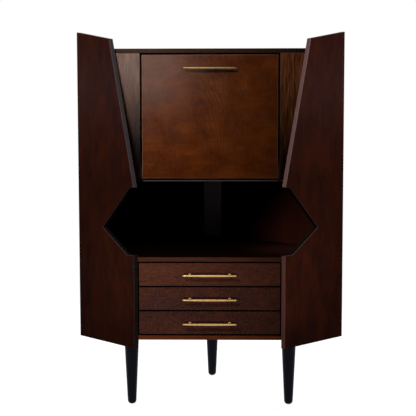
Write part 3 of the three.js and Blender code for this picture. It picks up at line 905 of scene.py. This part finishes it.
for drawer, middle in DRAWERS:
    drawer_side = block(
        "side",
        (SIDE_INNER, BOX_FRONT, middle - SIDE_RISE),
        (SIDE_OUTER, BOX_BACK, middle + SIDE_RISE),
    )
    for (x_low, x_high), low, high in (
        (RUNNER_GROOVE_X, middle - GROOVE_RISE, middle + GROOVE_RISE),
        (BOTTOM_GROOVE_X, middle - BOTTOM_LOW, middle - BOTTOM_HIGH),
    ):
        groove = block(
            "groove",
            (x_low, BOX_FRONT - GROOVE_OVERRUN, low),
            (x_high, BOX_BACK + GROOVE_OVERRUN, high),
        )
        cut_out(drawer_side, groove)
    ease_edges(drawer_side, 0.0008)
    runner = block(
        "runner",
        (RUNNER_X[0], RUNNER_FRONT, middle - RUNNER_RISE),
        (RUNNER_X[1], RUNNER_BACK, middle + RUNNER_RISE),
    )
    ease_edges(runner, 0.0015)
    for model, part, body, turned_y in (
        (drawer_side, "_side", drawer, BOX_FRONT + BOX_BACK),
        (runner, "_runner", "root", RUNNER_FRONT + RUNNER_BACK),
    ):
        mirrored = settle(copy_of(model), (0, turned_y, 0), half_turn)
        for piece, side in ((model, "_right"), (mirrored, "_left")):
            name_as(piece, drawer + side + part + "_wood")
            finish_in(piece, drawer_wood)
            dress(piece, body, "drawer_wood", drawer + side + part)
    back = block(
        drawer + "_back_wood",
        (-BACK_HALF, BOX_BACK - BACK_THICKNESS, middle - BOTTOM_HIGH),
        (BACK_HALF, BOX_BACK, middle + SIDE_RISE),
    )
    ease_edges(back, 0.0008)
    finish_in(back, drawer_wood)
    dress(back, drawer, "drawer_wood", drawer + "_back")
    finish_in(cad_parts[drawer + "_bottom"], drawer_wood)
for side, sign in SIDES:
    partition = block(
        side + "_partition_board",
        (sign * PARTITION_X[0], RUNNER_FRONT, PARTITION_LOW),
        (sign * PARTITION_X[1], PARTITION_BACK, PARTITION_HIGH),
    )
    ease_edges(partition, 0.001)
    finish_in(partition, case_inside)
    dress(partition, "root", "case_wood", side + "_partition")


# Hinges, stays and catch
# Pivot hinges and sliding stays, and a magnet catch under the top with its steel strike, all
# screwed on with small slotted screws. The stays' brass is darkened to a bronze tone and the
# hinges, catch and strike are near-black steel, both as painted shade in the gaps round the flap.
PIVOT_Y = DRAWER_FACE_Y + 0.127
PIVOT_Z = 0.930
LEAF_HALF = 0.0055
LEAF_TOP = 0.990
LEAF_SCREWS = (0.948, 0.978)  # heights
CASE_LEAF_X = (0.2828, 0.2852)
FLAP_LEAF_X = (0.2788, 0.2812)
PIN_RADIUS = 0.0025
# both finishes are darkened as painted shade, so that no glint shows in the gaps round the flap
fitting_bronze = metal("fitting_bronze", "6d5430", "523c20", 0.36)
steel_painted_shade = metal("burnished_steel", "1c1816", "120f0d", 0.45)
facing_in = (0, -math.pi / 2, 0)
facing_out = (0, math.pi / 2, 0)
facing_back = (-math.pi / 2, 0, 0)
facing_down = (math.pi, 0, 0)
screw = turn("screw", [(0.0029, -0.0004), (0.0029, 0.0001), (0.0024, 0.00032)], 20)
cut_out(screw, block("slot", (-0.004, -0.00035, -0.0001), (0.004, 0.00035, 0.001)))


def screws(facing, *places):
    """Slotted heads that face one way, each sunk in what it holds down."""
    return repeat(screw, "screws", [(place, facing) for place in places])


def leaf(x_low, x_high):
    """A hinge leaf of the right side, with its foot rounded about the pivot."""
    plate = block(
        "leaf", (x_low, PIVOT_Y - LEAF_HALF, PIVOT_Z), (x_high, PIVOT_Y + LEAF_HALF, LEAF_TOP)
    )
    foot = turn("foot", [(LEAF_HALF, x_low), (LEAF_HALF, x_high)], 40)
    settle(foot, (0, PIVOT_Y, PIVOT_Z), facing_out)
    return join_as("leaf", plate, foot)


for side, sign in SIDES:
    for leaf_name, ends, face_x, facing, body in (
        ("case", CASE_LEAF_X, CASE_LEAF_X[0], facing_in, "root"),
        ("flap", FLAP_LEAF_X, FLAP_LEAF_X[1], facing_out, "flap"),
    ):
        heads = [(face_x, PIVOT_Y, height) for height in LEAF_SCREWS]
        parts = [leaf(*ends), screws(facing, *heads)]
        if leaf_name == "case":
            pin = turn("pin", [(PIN_RADIUS, 0.2789), (PIN_RADIUS, 0.2829)], 24)
            parts.append(settle(pin, (0, PIVOT_Y, PIVOT_Z), facing_out))
        hinge = join_as("%s_%s_hinge" % (side, leaf_name), *parts)
        if sign < 0:
            settle(hinge, (0, 2 * PIVOT_Y, 0), half_turn)
        finish_in(hinge, steel_painted_shade)
        dress(hinge, body, "steel", "%s_%s_hinge_leaf" % (side, leaf_name))

# The stay: rod with collar and disc, swivel eye, and the bracket that carries its pin
ROD_X = 0.2675
PIN_Y = DRAWER_FACE_Y + 0.148
PIN_Z = 1.130057
ROD_TILT = math.radians(12.9923)
FOOT_FACE_Y = BAR_INNER_Y + 0.0033
FOOT_HALF = 0.01
FOOT_RISE = 0.02
FOOT_SCREW_RISE = 0.014
CHEEK_IN = 0.0048  # from the rod's middle to the near face of the cheek and to the far one
CHEEK_OUT = 0.0078
CHEEK_RADIUS = 0.008
rod_turn = (-(math.pi / 2 + ROD_TILT), 0, 0)
rod_rings = [(0.004, 0.003), (0.004, 0.3281), (0.0066, 0.3283), (0.007, 0.3288)]
rod_rings += [(0.007, 0.3368), (0.0066, 0.3373)]
disc_rings = [(0.0076, -0.0045), (0.008, -0.0041), (0.008, 0.0041), (0.0076, 0.0045)]
eye_rings = [(0.0104, -0.011), (0.011, -0.0104), (0.011, 0.0104), (0.0104, 0.011)]
eye_rings += [(0.007, 0.0112), (0.007, 0.0177), (0.004, 0.0178), (0.004, 0.0299)]
for side, sign in SIDES:
    x = sign * ROD_X
    out = (0, sign * math.pi / 2, 0)
    rod = settle(turn("rod", rod_rings, 28), (x, PIN_Y, PIN_Z), rod_turn)
    disc = settle(turn("disc", disc_rings, 36), (x, PIN_Y, PIN_Z), out)
    stay = join_as(side + "_stay", rod, disc)
    finish_in(stay, fitting_bronze)
    dress(stay, side + "_stay_rod", "brass", side + "_stay_rod")

    eye = settle(turn("eye", eye_rings, 40), (x, EYE_Y, EYE_Z), out)
    bore = turn("bore", [(0.0046, -0.02), (0.0046, 0.02)], 28)
    cut_out(eye, settle(bore, (x, EYE_Y, EYE_Z), rod_turn))
    name_as(eye, side + "_swivel_eye")
    finish_in(eye, fitting_bronze)
    dress(eye, side + "_stay_eye", "brass", side + "_stay_eye")

    base = block(
        "base",
        (x - FOOT_HALF, BAR_INNER_Y + FIT, PIN_Z - FOOT_RISE),
        (x + FOOT_HALF, FOOT_FACE_Y, PIN_Z + FOOT_RISE),
    )
    ease_edges(base, 0.0006)
    cheek = block(
        "cheek",
        (x - sign * CHEEK_IN, BAR_INNER_Y + 0.001, PIN_Z - CHEEK_RADIUS),
        (x - sign * CHEEK_OUT, PIN_Y, PIN_Z + CHEEK_RADIUS),
    )
    nose = turn("nose", [(CHEEK_RADIUS, -0.0015), (CHEEK_RADIUS, 0.0015)], 36)
    settle(nose, (x - sign * (CHEEK_IN + CHEEK_OUT) / 2, PIN_Y, PIN_Z), out)
    pin = turn("pin", [(PIN_RADIUS, -0.0063), (PIN_RADIUS, 0.0046), (0.0019, 0.0048)], 24)
    settle(pin, (x, PIN_Y, PIN_Z), out)
    heads = [
        (x + sign * 0.0035, FOOT_FACE_Y, PIN_Z + rise)
        for rise in (-FOOT_SCREW_RISE, FOOT_SCREW_RISE)
    ]
    bracket = join_as(side + "_stay_foot", base, cheek, nose, pin, screws(facing_back, *heads))
    finish_in(bracket, fitting_bronze)
    dress(bracket, "flap", "brass", side + "_stay_bracket")

# The catch: a housing, two pole plates and two screws, and the strike plate on the flap
CATCH_FRONT = DRAWER_FACE_Y + 0.1381  # plane of the pole plates
CATCH_BACK = DRAWER_FACE_Y + 0.1531
CATCH_LOW = 1.4307
CATCH_HIGH = 1.4447
CATCH_HALF = 0.023
POLE_HALF = 0.0035
POLE_LOW = 1.4335
POLE_HIGH = 1.4425
STRIKE_HALF = 0.017
STRIKE_LOW = 1.4257
STRIKE_HIGH = 1.4377
STRIKE_FACE_Y = BAR_INNER_Y + 0.0018
housing = block(
    "housing",
    (-CATCH_HALF, CATCH_FRONT + 0.001, CATCH_LOW),
    (CATCH_HALF, CATCH_BACK, CATCH_HIGH),
)
ease_edges(housing, 0.0012)
parts = [housing]
for x in (-0.0045, 0.0045):
    pole = block(
        "pole",
        (x - POLE_HALF, CATCH_FRONT, POLE_LOW),
        (x + POLE_HALF, CATCH_FRONT + 0.006, POLE_HIGH),
    )
    ease_edges(pole, 0.0004, 2)
    parts.append(pole)
heads = [(x, CATCH_FRONT + 0.008, CATCH_LOW) for x in (-0.0175, 0.0175)]
catch = join_as("door_magnet", *parts, screws(facing_down, *heads))
finish_in(catch, steel_painted_shade)
dress(catch, "root", "steel", "magnet_catch")
strike = block(
    "strike",
    (-STRIKE_HALF, BAR_INNER_Y + FIT, STRIKE_LOW),
    (STRIKE_HALF, STRIKE_FACE_Y, STRIKE_HIGH),
)
ease_edges(strike, 0.0005, 2)
strike_middle = (STRIKE_LOW + STRIKE_HIGH) / 2
heads = [(x, BAR_INNER_Y + 0.0016, strike_middle) for x in (-0.0125, 0.0125)]
strike = join_as("magnet_strike", strike, screws(facing_back, *heads))
finish_in(strike, steel_painted_shade)
dress(strike, "flap", "steel", "strike_plate")
bpy.data.objects.remove(screw)


# Legs
# Three turned beech legs, tapered and painted black, each on a stud in a round steel plate,
# with a steel glide under its foot.
LEG_RINGS = [(0.0112, 0.0016), (0.0124, 0.0024), (0.0162, 0.0072), (0.0178, 0.0108)]
LEG_RINGS += [(0.0188, 0.03), (0.0219, 0.095), (0.0255, 0.17), (0.0301, 0.2745)]
LEG_RINGS += [(0.0304, 0.2785), (0.0302, 0.2806), (0.029, 0.2814)]
GLIDE_RINGS = [(0.0068, 0.0), (0.0082, 0.0005), (0.0086, 0.0016)]
FRONT_LEG_X = 0.3245
FRONT_LEG_Y = DRAWER_FACE_Y + 0.085
REAR_LEG_Y = DRAWER_FACE_Y + 0.569
leg_black, tree, shader, place = new_material("leg_black_paint")
shader["Specular IOR Level"].default_value = 0.05
brushed = noise(tree, mapped(tree, place, (1, 1, 0.06)), 420, 4, 0.6)
dusty = span(tree, noise(tree, place, 30, 4, 0.6), 0.3, 0.75)
wire(
    tree,
    (blend_colours(tree, dusty, stain("252935"), stain("2f3441")), shader["Base Color"]),
    (span(tree, brushed, 0.3, 0.7, 0.28, 0.4), shader["Roughness"]),
    (raised(tree, brushed, 0.08, 0.0004), shader["Normal"]),
)
glide_black = metal("glide_steel", "2a2b2e", "1b1c1f", 0.4)
for name, x, y in (
    ("front_left", -FRONT_LEG_X, FRONT_LEG_Y),
    ("front_right", FRONT_LEG_X, FRONT_LEG_Y),
    ("rear", 0, REAR_LEG_Y),
):
    leg = settle(turn(name + "_turned_leg", LEG_RINGS, 64), (x, y, 0))
    finish_in(leg, leg_black)
    dress(leg, "root", "leg_paint", name + "_leg")
    glide = settle(turn(name + "_glide", GLIDE_RINGS), (x, y, 0))
    finish_in(glide, glide_black)
    dress(glide, "root", "steel")
    finish_in(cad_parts[name + "_leg_plate"], zinc_steel)


# Floor, lamps and surroundings
# A pale floor that is white to the camera but for the cabinet's shadow. A key spot from the
# upper left lights the bar front, small spots light the drawers from above and below, softboxes
# light the wings and the back, and panels that only lend their sheen stand to the sides.
bpy.ops.object.select_all(action="DESELECT")
bpy.ops.mesh.primitive_circle_add(
    vertices=96, radius=14, fill_type="NGON", location=(0, 0, -0.0005)
)
floor = name_as(bpy.context.object, "studio_floor")
floor_paint = bpy.data.materials.new("studio_floor_paint")
floor_paint.use_nodes = True
tree = floor_paint.node_tree
tree.nodes.clear()


def straight_rays(tree):
    """1 for camera, glossy and transmission rays, which see the white background."""
    ray = tree.nodes.new("ShaderNodeLightPath").outputs
    mirrored = math_node(tree, "MAXIMUM", ray["Is Camera Ray"], ray["Is Glossy Ray"])
    return math_node(tree, "MAXIMUM", mirrored, ray["Is Transmission Ray"])


def mix_shader(tree, share, first, second):
    return add_node(tree, "ShaderNodeMixShader", {0: share, 1: first, 2: second}).outputs[0]


place = tree.nodes.new("ShaderNodeTexCoord").outputs["Object"]
matt = add_node(tree, "ShaderNodeBsdfDiffuse", {"Color": (0.4, 0.4, 0.4, 1)}).outputs[0]
lit = add_node(tree, "ShaderNodeBsdfDiffuse", {"Color": (0.3, 0.3, 0.3, 1)}).outputs[0]
glow = add_node(tree, "ShaderNodeEmission", {"Strength": 0.97}).outputs[0]
seen = add_node(tree, "ShaderNodeAddShader", {0: lit, 1: glow}).outputs[0]
white = tree.nodes.new("ShaderNodeEmission").outputs[0]
clear = tree.nodes.new("ShaderNodeBsdfTransparent").outputs[0]
underside = tree.nodes.new("ShaderNodeNewGeometry").outputs["Backfacing"]
far_off = span(tree, length(tree, place), 0.9, 2.2)
seen = mix_shader(tree, far_off, seen, white)
upper_side = mix_shader(tree, straight_rays(tree), matt, seen)
output = tree.nodes.new("ShaderNodeOutputMaterial")
wire(tree, (mix_shader(tree, underside, upper_side, clear), output.inputs["Surface"]))
finish_in(floor, floor_paint)
floor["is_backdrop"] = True

AMBIENT = 0.035  # strength of the world's light for the rays that aren't straight
world = bpy.data.worlds.new("studio")
bpy.context.scene.world = world
world.use_nodes = True
tree = world.node_tree
background = tree.nodes["Background"].inputs
background["Color"].default_value = (1, 1, 1, 1)
wire(tree, (span(tree, straight_rays(tree), 0, 1, AMBIENT, 1.0), background["Strength"]))


def lamp(kind, name, location, aim, watts):
    """A lamp that points from its place at its aim."""
    bpy.ops.object.select_all(action="DESELECT")
    bpy.ops.object.light_add(type=kind, location=location)
    light = bpy.context.object
    light.name = name
    light.data.energy = watts
    toward = [a - b for a, b in zip(aim, location)]
    tilt = math.atan2(math.hypot(toward[0], toward[1]), -toward[2])
    light.rotation_euler = (tilt, 0, math.atan2(-toward[0], toward[1]))
    return light


def softbox(name, location, aim, width, height, watts):
    light = lamp("AREA", name, location, aim, watts)
    light.data.shape = "RECTANGLE"
    light.data.size = width
    light.data.size_y = height
    return light


def sheen_panel(name, location, aim, width, height, watts):
    """A softbox that is only seen mirrored, and lights nothing."""
    light = softbox(name, location, aim, width, height, watts)
    light.visible_diffuse = False
    return light


def spot(name, location, aim, radius, degrees, watts):
    """A spotlight that fades out evenly from its aim."""
    light = lamp("SPOT", name, location, aim, watts)
    light.data.shadow_soft_size = radius
    light.data.spot_size = math.radians(degrees)
    light.data.spot_blend = 1
    return light


def light_only(light, chosen, state="INCLUDE"):
    """Lights only the chosen pieces, or with "EXCLUDE" all but them."""
    receivers = bpy.data.collections.new(light.name + "_pieces")
    for piece in chosen:
        receivers.objects.link(piece)
    light.light_linking.receiver_collection = receivers
    for entry in receivers.collection_objects:
        entry.light_linking.link_state = state


by_name = {piece.name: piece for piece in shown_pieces()}
wings = [piece for name, piece in by_name.items() if "wing_panel" in name]
fittings = [piece for name, piece in by_name.items() if "stay" in name or "eye" in name]
fillers = [by_name["left_filler_board"], by_name["right_filler_board"]]
lacquered = [by_name[name] for name in ("flap_board", "left_filler_board", "cabinet_top")]
niche_panels = [by_name["left_wall_panel"], by_name["right_wall_panel"]]
low_fronts = [by_name[drawer + "_face"] for drawer, middle in DRAWERS]
low_fronts += [by_name["lowest_board"]]
upright, counter = by_name["corner_upright"], by_name["counter_top"]
own_lamp = [upright, counter] + wings + niche_panels + fittings + fillers + low_fronts

key = spot("key_spot", (-1.26, -4.75, 3.36), (-0.62, -0.3, 1.5), 0.05, 27, 1700)
light_only(key, own_lamp, "EXCLUDE")
# name, place, aim, radius, degrees, watts, the pieces that it lights
spots = [
    ("drawer_spot", (-0.5, -1.5, 1.4), (-0.56, -0.37, 0.5), 0.05, 90, 70, low_fronts),
    ("low_spot", (-0.55, -3.4, 0.03), (-0.55, -0.37, 0.45), 0.02, 40, 295, low_fronts + [counter]),
]
for filler, x, aim_height, watts in zip(fillers, (-0.4, 0.3), (1.62, 1.55), (1080, 500)):
    aim = (x, -0.25, aim_height)
    spots.append((filler.name + "_spot", (x * 1.3, -4.6, 2.4), aim, 0.12, 13, watts, [filler]))
spots.append(("niche_spot", (0.1, -2.8, 0.95), (0, 0.4, 1.0), 0.1, 15, 64, [upright]))
for *settings, chosen in spots:
    light_only(spot(*settings), chosen)
# the glow inside the niche, which is kept out of mirrors
for name, location, aim, degrees, watts, chosen in (
    ("wall_glow", (-0.62, -0.362, 0.79), (0.42, 0.0, 0.74), 53, 100, niche_panels),
    ("counter_glow", (0.36, -0.13, 0.9), (0.38, -0.11, 0.62), 110, 3.8, [counter]),
):
    niche_glow = spot(name, location, aim, 0.05, degrees, watts)
    niche_glow.visible_glossy = False
    light_only(niche_glow, chosen)
panel = sheen_panel("sheen_panel", (-0.825, -4.9, 1.73), (-0.2, -0.25, 1.3), 0.98, 0.92, 980)
light_only(panel, lacquered)
for side, sign in SIDES:
    x = sign * 1.05
    strip_place, wing_aim = (x * 3.24, 0.1, 1.37), (x * 0.4, -0.24, 1.25)
    strip = sheen_panel(side + "_wing_sheen", strip_place, wing_aim, 1.6, 0.3, 15)
    light_only(strip, wings)
    box_place, box_aim = (x * 1.1, -1.5, 2.1), (x * 0.4, -0.2, 1.2)
    light_only(softbox(side + "_wing_softbox", box_place, box_aim, 0.5, 0.5, 26), wings)
    foot_place, foot_aim = (x * 0.8, -1.6, 0.5), (x * 0.3, -0.34, 0.55)
    light_only(spot(side + "_wing_foot_spot", foot_place, foot_aim, 0.1, 26, 30), wings)
    softbox(side + "_rear_softbox", (x * 2.5, 3.0, 2.2), (0, 0.1, 0.8), 1.2, 1.2, 110)

bpy.context.scene.view_settings.view_transform = "Standard"

low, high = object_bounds()
